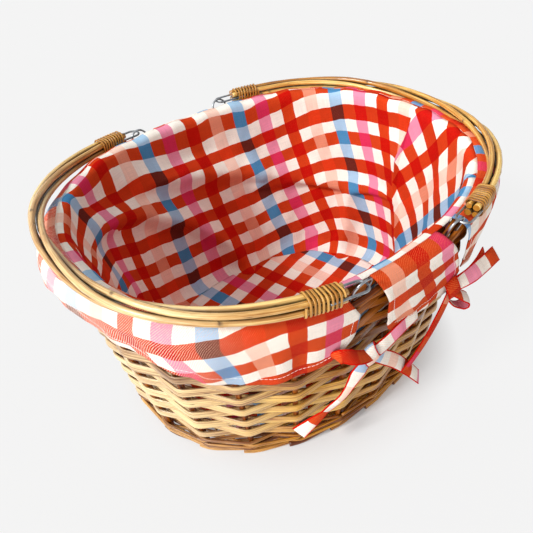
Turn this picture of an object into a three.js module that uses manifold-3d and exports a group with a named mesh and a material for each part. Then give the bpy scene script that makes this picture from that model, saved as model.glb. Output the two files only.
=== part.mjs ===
// Oval wicker picnic basket: woven wall on upright stakes, two drop handles and a tied cotton liner.
// Millimetres, +Z up. The origin is on the floor under the middle, X runs along the basket's length.
import * as THREE from 'three';
import { mergeVertices } from 'three/addons/utils/BufferGeometryUtils.js';
import Module from 'manifold-3d';

const wasm = await Module();
wasm.setup();

// Wall: the ovals are half sizes of the wall's middle line, and power squares the oval's corners.
const FOOT = { z: 7, halfLength: 160.4, halfWidth: 125.2, power: 2.18 };
const RIM = { z: 173, halfLength: 183, halfWidth: 145.5, power: 2.35 };
const WALL_HALF_THICKNESS = 5.2;
const WALE_TOP_Z = 21.7;
const TOUCH_GAP = 0.3;

// Stakes: upright willow rods inside the wall, evenly spaced round the oval.
const STAKE_COUNT = 23;
const STAKE_PHASE = 0.2;
const STAKE_RADIUS = 2.5;
const STAKE_HOLE_RADIUS = 3;
const STAKE_HOLE_EXTRA = 4;
const STAKE_BOTTOM_Z = 8.2;
const STAKE_TOP_Z = 173.1;
const SMOOTH_STATIONS = 2 * STAKE_COUNT;

// Base, foot and rim borders.
const BASE = { outward: -8.5, bottomZ: 4, thickness: 5 };
const FOOT_BORDER = { radius: 3.8, sides: 8 };
const RIM_BORDER = { bottomZ: 173.5, topZ: 187.3, halfWidth: 8.2 };

// Handles: a bundle of twisted rods on a half oval, hinged at the middle of each long side.
const HINGE = { x: 53, y: 152.6, z: 198.5 };
const HANDLE = { halfLength: 193.2, halfWidth: 156.4, power: 2.35 };
const HANDLE_RODS = 4;
const HANDLE_ROD = { radius: 2.9, offset: 4.3, sides: 6 };
const HANDLE_TWIST = { turn: Math.PI, from: 0.12, to: 0.88 };
const HANDLE_STEPS = 36;
const HANDLE_TILT = { left: THREE.MathUtils.degToRad(4.6), right: 0 };
const BINDING = { start: 2, length: 26, innerRadius: 7.6, thickness: 1.3, sides: 10, steps: 3, margin: 1.5 };

// Hinge wires: an eye on each handle end, linked through a loop that stands in the rim border.
const WIRE = { radius: 0.8, sides: 6, eyeSteps: 20, loopSteps: 16 };
const EYE = { setBack: 12.5, reach: 5.5, halfWidth: 6, buried: 14 };
const LOOP = { radius: 8, legLength: 14, shoulder: THREE.MathUtils.degToRad(129) };
const LOOP_LEAN = THREE.MathUtils.degToRad(20);
const LOOP_HOLE_RADIUS = 1.35;

// Liner: a cotton bag inside the wall, of a floor and two walls, and four flaps over the rim.
// The flaps are split at the hinges. The bag's two seams are at the basket's ends.
const CLOTH = 1.6;
const BAG_OUTWARD = -9.4;
const BAG_BOTTOM_Z = BASE.bottomZ + BASE.thickness + TOUCH_GAP;
const BAG_LIP_OUTWARD = -1.5;
const BAG_STATIONS = 24;
const BAG_SEAM = 0.0004;
const CLOTH_OVER_Z = RIM_BORDER.topZ + TOUCH_GAP;
const FLAP_GAP = 1.1;
const FLAP_HEM_Z = 126;
const FLAP_SPLIT = { inner: 30, outer: 60 };
const FLAP_STATIONS = { end: 20, side: 5 };
const TIE = { width: 10, thickness: 1.8, steps: 18 };

// ---- ovals ----

function ovalPoint(oval, angle) {
  const c = Math.cos(angle);
  const s = Math.sin(angle);
  const x = oval.halfLength * Math.sign(c) * Math.abs(c) ** (2 / oval.power);
  const y = oval.halfWidth * Math.sign(s) * Math.abs(s) ** (2 / oval.power);
  return new THREE.Vector2(x, y);
}

// The angle at which the oval reaches the given distance from the middle of its length.
function angleAtX(oval, x) {
  return Math.acos((x / oval.halfLength) ** (oval.power / 2));
}

// The oval's angles at rising shares of its length, counted from the +X end.
function anglesAt(oval, shares) {
  const samples = 1440;
  const lengths = [0];
  let before = ovalPoint(oval, 0);
  for (let i = 1; i <= samples; i++) {
    const point = ovalPoint(oval, (2 * Math.PI * i) / samples);
    lengths.push(lengths[i - 1] + point.distanceTo(before));
    before = point;
  }
  const angles = [];
  let i = 0;
  for (const share of shares) {
    const target = lengths[samples] * share;
    while (lengths[i + 1] < target) i++;
    const rest = (target - lengths[i]) / (lengths[i + 1] - lengths[i]);
    angles.push((2 * Math.PI * (i + rest)) / samples);
  }
  return angles;
}

// Shares that cut a ring into equal lengths, the first one `phase` steps past its start.
function evenShares(count, phase) {
  return Array.from({ length: count }, (_, step) => (step + phase) / count);
}

function evenAngles(oval, count, phase) {
  return anglesAt(oval, evenShares(count, phase));
}

// The wall's middle line at a height: it leans out in a straight line from foot to rim, then stands.
function wallOval(z) {
  const rise = Math.min(1, (z - FOOT.z) / (RIM.z - FOOT.z));
  return {
    halfLength: THREE.MathUtils.lerp(FOOT.halfLength, RIM.halfLength, rise),
    halfWidth: THREE.MathUtils.lerp(FOOT.halfWidth, RIM.halfWidth, rise),
    power: THREE.MathUtils.lerp(FOOT.power, RIM.power, rise),
  };
}

// A point beside the oval: outward millimetres along the oval's own normal.
function besideOval(oval, angle, outward, z) {
  const nudge = 0.01;
  const along = ovalPoint(oval, angle + nudge).sub(ovalPoint(oval, angle - nudge)).normalize();
  const point = ovalPoint(oval, angle);
  return new THREE.Vector3(point.x + along.y * outward, point.y - along.x * outward, z);
}

// Places section points (outward, z) at numbered stations round the wall, the same shares at every height.
function wallPlacer(shares, heights) {
  const cache = new Map(heights.map((z) => [z, anglesAt(wallOval(z), shares)]));
  return (station, point) => {
    const angles = cache.get(point.y);
    return besideOval(wallOval(point.y), angles[station], point.x, point.y);
  };
}

// ---- solids ----

// Turns every face outwards by the sign of the enclosed volume.
function facingOut(positions, index) {
  const corner = (i) => new THREE.Vector3().fromArray(positions, 3 * i);
  let volume = 0;
  for (let i = 0; i < index.length; i += 3) {
    const [a, b, c] = [corner(index[i]), corner(index[i + 1]), corner(index[i + 2])];
    volume += a.dot(b.cross(c));
  }
  if (volume < 0) index.reverse();
  const geometry = new THREE.BufferGeometry();
  geometry.setAttribute('position', new THREE.Float32BufferAttribute(positions, 3));
  geometry.setIndex(index);
  return geometry;
}

// Carries an outline through numbered stations, as a closed ring or as a bar with two flat ends.
function sweep(section, stations, place, closed) {
  const sides = section.length;
  const positions = [];
  for (let station = 0; station < stations; station++) {
    for (const point of section) positions.push(...place(station, point).toArray());
  }
  const index = [];
  const spans = closed ? stations : stations - 1;
  for (let i = 0; i < spans; i++) {
    const here = i * sides;
    const next = ((i + 1) % stations) * sides;
    for (let j = 0; j < sides; j++) {
      const k = (j + 1) % sides;
      index.push(here + j, next + k, here + k, here + j, next + j, next + k);
    }
  }
  if (!closed) {
    const last = (stations - 1) * sides;
    for (const [a, b, c] of THREE.ShapeUtils.triangulateShape(section, [])) {
      index.push(a, b, c, last + a, last + c, last + b);
    }
  }
  return facingOut(positions, index);
}

function roundSection(radius, sides) {
  const points = [];
  for (let i = 0; i < sides; i++) {
    const angle = (2 * Math.PI * (i + 0.5)) / sides;
    points.push(new THREE.Vector2(radius * Math.cos(angle), radius * Math.sin(angle)));
  }
  return points;
}

function rod(path, radius, sides, steps) {
  const shape = new THREE.Shape(roundSection(radius, sides));
  return new THREE.ExtrudeGeometry(shape, { steps, extrudePath: path });
}

function toManifold(geometry) {
  const bare = geometry.clone();
  bare.deleteAttribute('normal');
  bare.deleteAttribute('uv');
  const merged = mergeVertices(bare, 1e-4);
  return new wasm.Manifold(new wasm.Mesh({
    numProp: 3,
    vertProperties: new Float32Array(merged.attributes.position.array),
    triVerts: new Uint32Array(merged.index.array),
  }));
}

function cutAll(geometry, cutters) {
  let solid = toManifold(geometry);
  for (const cutter of cutters) solid = solid.subtract(toManifold(cutter));
  const mesh = solid.getMesh();
  const result = new THREE.BufferGeometry();
  result.setAttribute('position', new THREE.BufferAttribute(mesh.vertProperties, 3));
  result.setIndex(new THREE.BufferAttribute(mesh.triVerts, 1));
  return result;
}

// ---- materials ----

function material(color, roughness, metalness = 0) {
  return new THREE.MeshStandardMaterial({ color, roughness, metalness });
}

const STRAW = material(0xe0c088, 0.55);
const BARK = material(0xa8742e, 0.6);
const HANDLE_WILLOW = material(0xc89a50, 0.5);
const CANE = material(0xd8b070, 0.45);
const STEEL = material(0xa8acac, 0.3, 1);
const COTTON = material(0xd04a30, 0.9);

const basket = new THREE.Group();

function add(name, geometry, look) {
  const mesh = new THREE.Mesh(geometry, look);
  mesh.name = name;
  basket.add(mesh);
}

// ---- base, wall and borders ----

// A rod along a stake's middle line, longer than the stake by `extra` at both ends.
function stakeRod(number, radius, extra = 0) {
  const place = wallPlacer(evenShares(STAKE_COUNT, STAKE_PHASE), [STAKE_BOTTOM_Z, STAKE_TOP_Z]);
  const bottom = place(number, new THREE.Vector2(0, STAKE_BOTTOM_Z));
  const top = place(number, new THREE.Vector2(0, STAKE_TOP_Z));
  const along = top.clone().sub(bottom).setLength(extra);
  return rod(new THREE.LineCurve3(bottom.sub(along), top.add(along)), radius, 6, 1);
}

function stakeHoles() {
  const holes = [];
  for (let i = 0; i < STAKE_COUNT; i++) holes.push(stakeRod(i, STAKE_HOLE_RADIUS, STAKE_HOLE_EXTRA));
  return holes;
}

function ringBand(bottomZ, topZ) {
  const half = WALL_HALF_THICKNESS;
  const section = [[-half, bottomZ], [half, bottomZ], [half, topZ], [-half, topZ]];
  const points = section.map(([x, y]) => new THREE.Vector2(x, y));
  const place = wallPlacer(evenShares(STAKE_COUNT, STAKE_PHASE), [bottomZ, topZ]);
  return sweep(points, STAKE_COUNT, place, true);
}

// A flat oval plate beside the wall's middle line.
function ovalPlate(outward, bottomZ, thickness) {
  const oval = wallOval(FOOT.z);
  const outline = [];
  for (const angle of evenAngles(oval, SMOOTH_STATIONS, 0)) {
    const point = besideOval(oval, angle, outward, 0);
    outline.push(new THREE.Vector2(point.x, point.y));
  }
  const options = { depth: thickness, bevelEnabled: false };
  return new THREE.ExtrudeGeometry(new THREE.Shape(outline), options).translate(0, 0, bottomZ);
}

function footBorder() {
  const { radius, sides } = FOOT_BORDER;
  const section = roundSection(radius / Math.cos(Math.PI / sides), sides);
  const oval = wallOval(FOOT.z);
  const angles = evenAngles(oval, STAKE_COUNT, STAKE_PHASE);
  const place = (station, point) => besideOval(oval, angles[station], point.x, point.y + radius);
  return sweep(section, STAKE_COUNT, place, true);
}

function rimPlacer(angles) {
  return (station, point) => besideOval(RIM, angles[station], point.x, point.y);
}

function rimBorder() {
  const { halfWidth: w, topZ: top, bottomZ: bottom } = RIM_BORDER;
  const right = [[0.8 * w, bottom], [w, bottom + 3.5], [w, bottom + 7.5], [0.5 * w, top - 1.3]];
  const left = right.map(([x, y]) => [-x, y]).reverse();
  const section = [...right, [0, top], ...left].map(([x, y]) => new THREE.Vector2(x, y));
  const place = rimPlacer(evenAngles(RIM, SMOOTH_STATIONS, 2 * STAKE_PHASE));
  return sweep(section, SMOOTH_STATIONS, place, true);
}

// ---- hinge wires ----

// A wire bent into a U: two straight legs and a half circle, drawn along `up` and across `side`.
class UBend extends THREE.Curve {
  constructor(centre, side, up, radius, legLength) {
    super();
    Object.assign(this, { centre, side, up, radius, legLength });
  }

  getPoint(t, target = new THREE.Vector3()) {
    const bend = Math.PI * this.radius;
    const run = t * (2 * this.legLength + bend);
    let across = -this.radius;
    let rise = run - this.legLength;
    if (run > this.legLength + bend) {
      across = this.radius;
      rise = this.legLength + bend - run;
    } else if (run > this.legLength) {
      const angle = (run - this.legLength) / this.radius;
      across = -this.radius * Math.cos(angle);
      rise = this.radius * Math.sin(angle);
    }
    return target.copy(this.centre).addScaledVector(this.side, across).addScaledVector(this.up, rise);
  }
}

// End is -1 for the left handle and +1 for the right, side is -1 for the front and +1 for the back.
function rimLoopCurve(end, side) {
  const along = new THREE.Vector3(1, 0, 0);
  const up = new THREE.Vector3(0, side * Math.sin(LOOP_LEAN), Math.cos(LOOP_LEAN));
  const centre = new THREE.Vector3(end * HINGE.x, side * HINGE.y, HINGE.z)
    .addScaledVector(along, end * LOOP.radius * Math.cos(LOOP.shoulder))
    .addScaledVector(up, -LOOP.radius * Math.sin(LOOP.shoulder));
  return new UBend(centre, along, up, LOOP.radius, LOOP.legLength);
}

function rimLoopHoles(end, side) {
  const curve = rimLoopCurve(end, side);
  const holes = [];
  for (const leg of [-1, 1]) {
    const foot = curve.centre.clone().addScaledVector(curve.side, leg * LOOP.radius);
    const low = foot.clone().addScaledVector(curve.up, -LOOP.legLength - 1);
    holes.push(rod(new THREE.LineCurve3(low, foot), LOOP_HOLE_RADIUS, 8, 1));
  }
  return holes;
}

// ---- handles ----

// The handle's middle line from its front end to its back end, with the frame that its rods follow.
class HandleLine {
  constructor(end, tilt) {
    this.end = end;
    this.tilt = tilt;
    this.span = angleAtX(HANDLE, HINGE.x + EYE.setBack);
  }

  point(t) {
    const flat = ovalPoint(HANDLE, this.span * (2 * t - 1));
    const out = flat.x - HINGE.x;
    const x = this.end * (HINGE.x + out * Math.cos(this.tilt));
    return new THREE.Vector3(x, flat.y, HINGE.z + out * Math.sin(this.tilt));
  }

  frame(t) {
    const nudge = 1e-3;
    const ahead = this.point(Math.min(1, t + nudge));
    const along = ahead.sub(this.point(Math.max(0, t - nudge))).normalize();
    const up = new THREE.Vector3(-this.end * Math.sin(this.tilt), 0, Math.cos(this.tilt));
    const across = new THREE.Vector3().crossVectors(up, along).normalize();
    return { along, up, across };
  }

  length() {
    let total = 0;
    const steps = 200;
    for (let i = 0; i < steps; i++) total += this.point(i / steps).distanceTo(this.point((i + 1) / steps));
    return total;
  }
}

class HandleRod extends THREE.Curve {
  constructor(line, number) {
    super();
    Object.assign(this, { line, number });
  }

  getPoint(t, target = new THREE.Vector3()) {
    const { turn, from, to } = HANDLE_TWIST;
    const twist = turn * THREE.MathUtils.smoothstep(t, from, to);
    const angle = (2 * Math.PI * (this.number + 0.5)) / HANDLE_RODS + twist;
    const { up, across } = this.line.frame(t);
    return target.copy(this.line.point(t))
      .addScaledVector(across, HANDLE_ROD.offset * Math.cos(angle))
      .addScaledVector(up, HANDLE_ROD.offset * Math.sin(angle));
  }
}

// A stretch of the handle's middle line.
class HandleStretch extends THREE.Curve {
  constructor(line, from, to) {
    super();
    Object.assign(this, { line, from, to });
  }

  getPoint(t, target = new THREE.Vector3()) {
    return target.copy(this.line.point(THREE.MathUtils.lerp(this.from, this.to, t)));
  }
}

// The cane wound round a handle's end, as a sleeve.
function binding(line, side) {
  const share = 1 / line.length();
  const near = BINDING.start * share;
  const far = (BINDING.start + BINDING.length) * share;
  const margin = BINDING.margin * share;
  const stretch = (from, to) => (side < 0
    ? new HandleStretch(line, from, to)
    : new HandleStretch(line, 1 - to, 1 - from));
  const inner = BINDING.innerRadius / Math.cos(Math.PI / BINDING.sides);
  const outer = rod(stretch(near, far), inner + BINDING.thickness, BINDING.sides, BINDING.steps);
  const core = rod(stretch(near - margin, far + margin), inner, BINDING.sides, BINDING.steps);
  return cutAll(outer, [core]);
}

function eyeCurve(line, side) {
  const t = side < 0 ? 0 : 1;
  const { along, across } = line.frame(t);
  const outward = along.clone().multiplyScalar(side);
  const straight = EYE.setBack + EYE.reach - EYE.halfWidth;
  const centre = line.point(t).addScaledVector(outward, straight);
  return new UBend(centre, across, outward, EYE.halfWidth, straight + EYE.buried);
}

// ---- liner and ties ----

// Half of the bag's wall, from the +X end (turn 0) or the -X end (turn 0.5), with its lip on the rim border.
function linerWall(turn) {
  const out = BAG_OUTWARD;
  const inner = BAG_OUTWARD - CLOTH;
  const over = CLOTH_OVER_Z;
  const top = over + CLOTH;
  const outside = [[out, BAG_BOTTOM_Z], [out, over - 9], [out + 2, over - 2], [0.6 * out, over]];
  const lip = [[BAG_LIP_OUTWARD, over + 0.05], [BAG_LIP_OUTWARD, top], [0.7 * out, top - 0.1]];
  const inside = [[inner + 1.6, top - 2], [inner, over - 9.5], [inner, BAG_BOTTOM_Z]];
  const section = [...outside, ...lip, ...inside].map(([x, y]) => new THREE.Vector2(x, y));
  const shares = [];
  for (let i = 0; i < BAG_STATIONS; i++) {
    const along = i / (BAG_STATIONS - 1);
    shares.push(turn + THREE.MathUtils.lerp(BAG_SEAM, 0.5 - BAG_SEAM, along));
  }
  const place = wallPlacer(shares, section.map((point) => point.y));
  return sweep(section, BAG_STATIONS, place, false);
}

// A flap lies on the rim border and hangs outside the wall between two angles of the rim's oval.
function linerFlap(from, to, stations) {
  const over = CLOTH_OVER_Z;
  const w = RIM_BORDER.halfWidth + FLAP_GAP;
  const start = BAG_LIP_OUTWARD + FLAP_GAP;
  const under = [[start, over], [1, over], [0.6 * w, over - 1.4], [w, over - 6], [w, over - 11]];
  const hang = [[w - 1, 165], [w - 3.5, 150], [w - 6, FLAP_HEM_Z]];
  const outer = [[w - 6 + CLOTH, FLAP_HEM_Z], [w - 3.5 + CLOTH, 150.5], [w - 1 + CLOTH, 165.5]];
  const top = [[w + CLOTH, over - 11], [w + CLOTH, over - 5.4], [0.6 * w + 1, over + 0.2],
    [1.4, over + CLOTH], [start, over + CLOTH]];
  const section = [...under, ...hang, ...outer, ...top].map(([x, y]) => new THREE.Vector2(x, y));
  const angles = [];
  for (let i = 0; i < stations; i++) angles.push(THREE.MathUtils.lerp(from, to, i / (stations - 1)));
  return sweep(section, stations, rimPlacer(angles), false);
}

// A tied strip: from one loose end through the knot below the split to the other loose end.
const TIE_LEFT = [[-91, -128, 48], [-76, -136, 62], [-58, -144, 80], [-45, -151, 102], [-37, -156, 119],
  [-22, -157, 113], [-5, -156, 99], [8, -153, 84]];
const TIE_RIGHT = [[12, -150, 60], [26, -152, 80], [42, -154, 103], [55, -156, 122],
  [70, -156, 120], [84, -153, 116], [98, -149, 110]];

function tie(points, side) {
  const route = points.map(([x, y, z]) => new THREE.Vector3(x, -side * y, z));
  const flat = new THREE.Shape([
    new THREE.Vector2(-TIE.thickness / 2, -TIE.width / 2),
    new THREE.Vector2(TIE.thickness / 2, -TIE.width / 2),
    new THREE.Vector2(TIE.thickness / 2, TIE.width / 2),
    new THREE.Vector2(-TIE.thickness / 2, TIE.width / 2),
  ]);
  const extrudePath = new THREE.CatmullRomCurve3(route);
  return new THREE.ExtrudeGeometry(flat, { steps: TIE.steps, extrudePath });
}

// ---- assembly ----

add('base_mat', ovalPlate(BASE.outward, BASE.bottomZ, BASE.thickness), STRAW);
add('foot_border', footBorder(), BARK);
const holes = stakeHoles();
add('bottom_wale', cutAll(ringBand(2 * FOOT_BORDER.radius + TOUCH_GAP, WALE_TOP_Z), holes), BARK);
add('side_weave', cutAll(ringBand(WALE_TOP_Z + TOUCH_GAP, RIM.z), holes), STRAW);
for (let i = 0; i < STAKE_COUNT; i++) {
  const name = `stake_${String(i + 1).padStart(2, '0')}`;
  add(name, stakeRod(i, STAKE_RADIUS), BARK);
}

const loopHoles = [];
const ENDS = { left: -1, right: 1 };
const SIDES = { front: -1, back: 1 };
for (const [endName, end] of Object.entries(ENDS)) {
  const line = new HandleLine(end, HANDLE_TILT[endName]);
  for (let i = 0; i < HANDLE_RODS; i++) {
    const geometry = rod(new HandleRod(line, i), HANDLE_ROD.radius, HANDLE_ROD.sides, HANDLE_STEPS);
    add(`${endName}_handle_rod_${i + 1}`, geometry, HANDLE_WILLOW);
  }
  for (const [sideName, side] of Object.entries(SIDES)) {
    const place = `${endName}_${sideName}`;
    add(`${place}_binding`, binding(line, side), CANE);
    add(`${place}_handle_eye`, rod(eyeCurve(line, side), WIRE.radius, WIRE.sides, WIRE.eyeSteps), STEEL);
    add(`${place}_rim_loop`, rod(rimLoopCurve(end, side), WIRE.radius, WIRE.sides, WIRE.loopSteps), STEEL);
    loopHoles.push(...rimLoopHoles(end, side));
  }
}
add('rim_border', cutAll(rimBorder(), loopHoles), BARK);

add('liner_floor', ovalPlate(BAG_OUTWARD - CLOTH - TOUCH_GAP, BAG_BOTTOM_Z, CLOTH), COTTON);
add('liner_wall_back', linerWall(0), COTTON);
add('liner_wall_front', linerWall(0.5), COTTON);
const splitInner = angleAtX(RIM, FLAP_SPLIT.inner);
const splitOuter = angleAtX(RIM, FLAP_SPLIT.outer);
const flaps = {
  right: [-splitOuter, splitOuter, FLAP_STATIONS.end],
  left: [Math.PI - splitOuter, Math.PI + splitOuter, FLAP_STATIONS.end],
  back: [splitInner, Math.PI - splitInner, FLAP_STATIONS.side],
  front: [Math.PI + splitInner, 2 * Math.PI - splitInner, FLAP_STATIONS.side],
};
for (const [name, [from, to, stations]] of Object.entries(flaps)) {
  add(`liner_flap_${name}`, linerFlap(from, to, stations), COTTON);
}
for (const [sideName, side] of Object.entries(SIDES)) {
  add(`tie_${sideName}_left`, tie(TIE_LEFT, side), COTTON);
  add(`tie_${sideName}_right`, tie(TIE_RIGHT, side), COTTON);
}

export default basket;
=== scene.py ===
"""Looks for an oval wicker picnic basket with two drop handles and a checked cotton liner.

Shapes are worked out in millimetres, as in the CAD part, and turned into metres when a mesh is made.
"""

import math

import bmesh
import bpy
import numpy as np
from mathutils import Matrix, Vector


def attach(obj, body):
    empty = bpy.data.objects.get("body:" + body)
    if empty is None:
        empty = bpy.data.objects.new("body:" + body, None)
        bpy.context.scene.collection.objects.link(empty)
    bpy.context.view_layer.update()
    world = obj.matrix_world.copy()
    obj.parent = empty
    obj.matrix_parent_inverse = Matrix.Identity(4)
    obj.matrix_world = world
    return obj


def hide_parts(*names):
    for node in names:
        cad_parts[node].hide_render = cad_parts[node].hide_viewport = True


MM = 0.001

# The driving sizes of the CAD part, first the wall's middle line as ovals at two heights.
FOOT = {"z": 7.0, "half_length": 160.4, "half_width": 125.2, "power": 2.18}
RIM = {"z": 173.0, "half_length": 183.0, "half_width": 145.5, "power": 2.35}
STAKES = 23
STAKE_PHASE = 0.2
STAKE_RADIUS = 2.5
STAKE_BOTTOM_Z = 8.2
STAKE_TOP_Z = 173.1
RIM_TOP_Z = 187.3
HINGE = {"x": 53.0, "y": 152.6, "z": 198.5}
HANDLE = {"half_length": 193.2, "half_width": 156.4, "power": 2.35}
HANDLE_TILT = {"left": math.radians(4.6), "right": 0.0}
EYE = {"set_back": 12.5, "reach": 5.5, "half_width": 6.0, "buried": 14.0}
LOOP = {"radius": 8.0, "leg": 14.0, "shoulder": math.radians(129), "lean": math.radians(20)}
# The loops stand this far off their nominal place, outwards and up, so the linked wires never overlap.
LOOP_SLACK = {"left": (0.45, 0.1), "right": (0.35, 0.35)}
BINDING = {"start": 2.0, "length": 26.0}
ENDS = {"left": -1, "right": 1}
SIDES = {"front": -1, "back": 1}

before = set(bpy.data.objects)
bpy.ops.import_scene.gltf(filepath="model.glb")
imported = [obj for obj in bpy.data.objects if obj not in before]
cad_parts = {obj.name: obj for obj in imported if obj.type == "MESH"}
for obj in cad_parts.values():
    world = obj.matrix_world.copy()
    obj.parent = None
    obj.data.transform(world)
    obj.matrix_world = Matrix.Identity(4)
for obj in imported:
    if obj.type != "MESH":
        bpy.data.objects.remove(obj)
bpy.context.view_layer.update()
random = np.random.default_rng(11)


# ---------------------------------------------------------------- ovals and the wall


def lerp(a, b, t):
    return a + (b - a) * t


def along_line(line, at):
    """The value at a place on a line of (place, value) points."""
    line = np.asarray(line, float)
    order = np.argsort(line[:, 0])
    return np.interp(at, line[order, 0], line[order, 1])


def run_lengths(points):
    """How far along a line of points each point is."""
    return np.r_[0, np.cumsum(np.linalg.norm(np.diff(points, axis=0), axis=1))]


def at_places(at, places, points):
    """Points at new places along a line of points whose places are known."""
    return np.stack([np.interp(at, places, column) for column in np.transpose(points)], -1)


def round_angles(sides):
    return 2 * math.pi * (np.arange(sides) + 0.5) / sides


def oval_point(half_length, half_width, power, angle):
    c, s = np.cos(angle), np.sin(angle)
    x = half_length * np.sign(c) * np.abs(c) ** (2 / power)
    y = half_width * np.sign(s) * np.abs(s) ** (2 / power)
    return np.stack([x, y], -1)


def wall_oval(z):
    """The wall's middle line at a height: it leans out from foot to rim and stands above the rim."""
    rise = np.clip((np.asarray(z, float) - FOOT["z"]) / (RIM["z"] - FOOT["z"]), -0.1, 1)
    return [lerp(FOOT[k], RIM[k], rise) for k in ("half_length", "half_width", "power")]


SHARES = 1440


def share_table(oval):
    """Angles at even shares of an oval's length."""
    angles = np.linspace(0, 2 * math.pi, SHARES + 1)
    lengths = run_lengths(oval_point(*oval, angles))
    return np.interp(np.linspace(0, lengths[-1], SHARES + 1), lengths, angles)


LEVELS = np.linspace(FOOT["z"], RIM["z"], 9)
LEVEL_ANGLES = np.array([share_table(wall_oval(z)) for z in LEVELS])


def wall_angle(share, z):
    """The oval's angle at a share of its length, counted from the +X end towards +Y."""
    place_at = (share % 1.0) * SHARES
    column = np.minimum(place_at.astype(int), SHARES - 1)
    level = np.clip((z - LEVELS[0]) / (LEVELS[1] - LEVELS[0]), 0, len(LEVELS) - 1.001)
    row = level.astype(int)

    def at(r):
        return lerp(LEVEL_ANGLES[r, column], LEVEL_ANGLES[r, column + 1], place_at - column)

    return lerp(at(row), at(row + 1), level - row)


def wall(share, outward, z):
    """Points on or beside the wall's middle line, and the outward normals there."""
    share, outward, z = np.broadcast_arrays(*(np.asarray(v, float) for v in (share, outward, z)))
    oval, angle, nudge = wall_oval(z), wall_angle(share, z), 0.01
    along = oval_point(*oval, angle + nudge) - oval_point(*oval, angle - nudge)
    along /= np.linalg.norm(along, axis=-1, keepdims=True)
    normal = np.stack([along[..., 1], -along[..., 0]], -1)
    flat = oval_point(*oval, angle) + normal * outward[..., None]
    return np.concatenate([flat, z[..., None]], -1), np.concatenate([normal, 0 * z[..., None]], -1)


def stake_share(number):
    return (number + STAKE_PHASE) / STAKES


def chord_wall(w, outward, z, rounding=0.05):
    """The wall as strips follow it: straight from stake to stake, turning at each. w counts stakes."""

    def straight(at):
        low = np.floor(at)
        here, _ = wall(stake_share(low), 0, z)
        there, _ = wall(stake_share(low + 1), 0, z)
        return lerp(here, there, (at - low)[..., None])

    middle = (straight(w - rounding) + 2 * straight(w) + straight(w + rounding)) / 4
    _, normal = wall(stake_share(w), 0, z)
    return middle + normal * np.asarray(outward)[..., None], normal


def wander(length, scale, size):
    """A slow wavering number along a strand, repeatable, from a few sines of random phase."""
    at = np.asarray(length, float) / scale
    total = np.zeros_like(at)
    for i in range(4):
        total += np.sin(at * (1 + 0.83 * i) + random.uniform(0, 2 * math.pi)) / (1 + i)
    return size * total / 1.6


# ---------------------------------------------------------------- meshes


def unit(v):
    return v / np.maximum(np.linalg.norm(v, axis=-1, keepdims=True), 1e-9)


def round_section(radius, sides=12):
    angles = round_angles(sides)
    return np.stack([radius * np.cos(angles), radius * np.sin(angles)], -1)


def flat_section(thickness, width, sides=12, out_power=0.8, up_power=0.42):
    """A strip's outline: nearly flat faces with rounded edges. First column is out, second is up."""
    c, s = np.cos(round_angles(sides)), np.sin(round_angles(sides))
    out = thickness / 2 * np.sign(c) * np.abs(c) ** out_power
    up = width / 2 * np.sign(s) * np.abs(s) ** up_power
    return np.stack([out, up], -1)


def rings_along(path, out, section, scale=1.0, tilt=0.0):
    """Carries a section along a path. out points where the section's first axis should face."""
    path = np.asarray(path, float)
    along = unit(np.gradient(path, axis=0))
    out = np.broadcast_to(np.asarray(out, float), path.shape)
    up = unit(np.cross(along, out))
    out = unit(np.cross(up, along))
    tilt = np.broadcast_to(np.asarray(tilt, float), len(path))[:, None]
    turned_out = out * np.cos(tilt) + up * np.sin(tilt)
    turned_up = up * np.cos(tilt) - out * np.sin(tilt)
    section = np.asarray(section, float)
    if section.ndim == 2:
        section = np.broadcast_to(section, (len(path),) + section.shape)
    scale = np.broadcast_to(np.asarray(scale, float), len(path))[:, None, None]
    section = section * scale
    sideways = turned_out[:, None] * section[..., :1]
    return path[:, None] + sideways + turned_up[:, None] * section[..., 1:]


def smooth_path(points, count):
    """A Catmull-Rom curve through the points, at even steps along its length."""
    points = np.asarray(points, float)
    padded = np.vstack([2 * points[0] - points[1], points, 2 * points[-1] - points[-2]])
    fine = []
    for i in range(len(points) - 1):
        a, b, c, d = padded[i : i + 4]
        t = np.linspace(0, 1, 24, endpoint=False)[:, None]
        fine.append(0.5 * (2 * b + (c - a) * t + (2 * a - 5 * b + 4 * c - d) * t**2
                           + (3 * b - a - 3 * c + d) * t**3))
    fine = np.vstack(fine + [points[-1:]])
    lengths = run_lengths(fine)
    return at_places(np.linspace(0, lengths[-1], count), lengths, fine)


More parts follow.
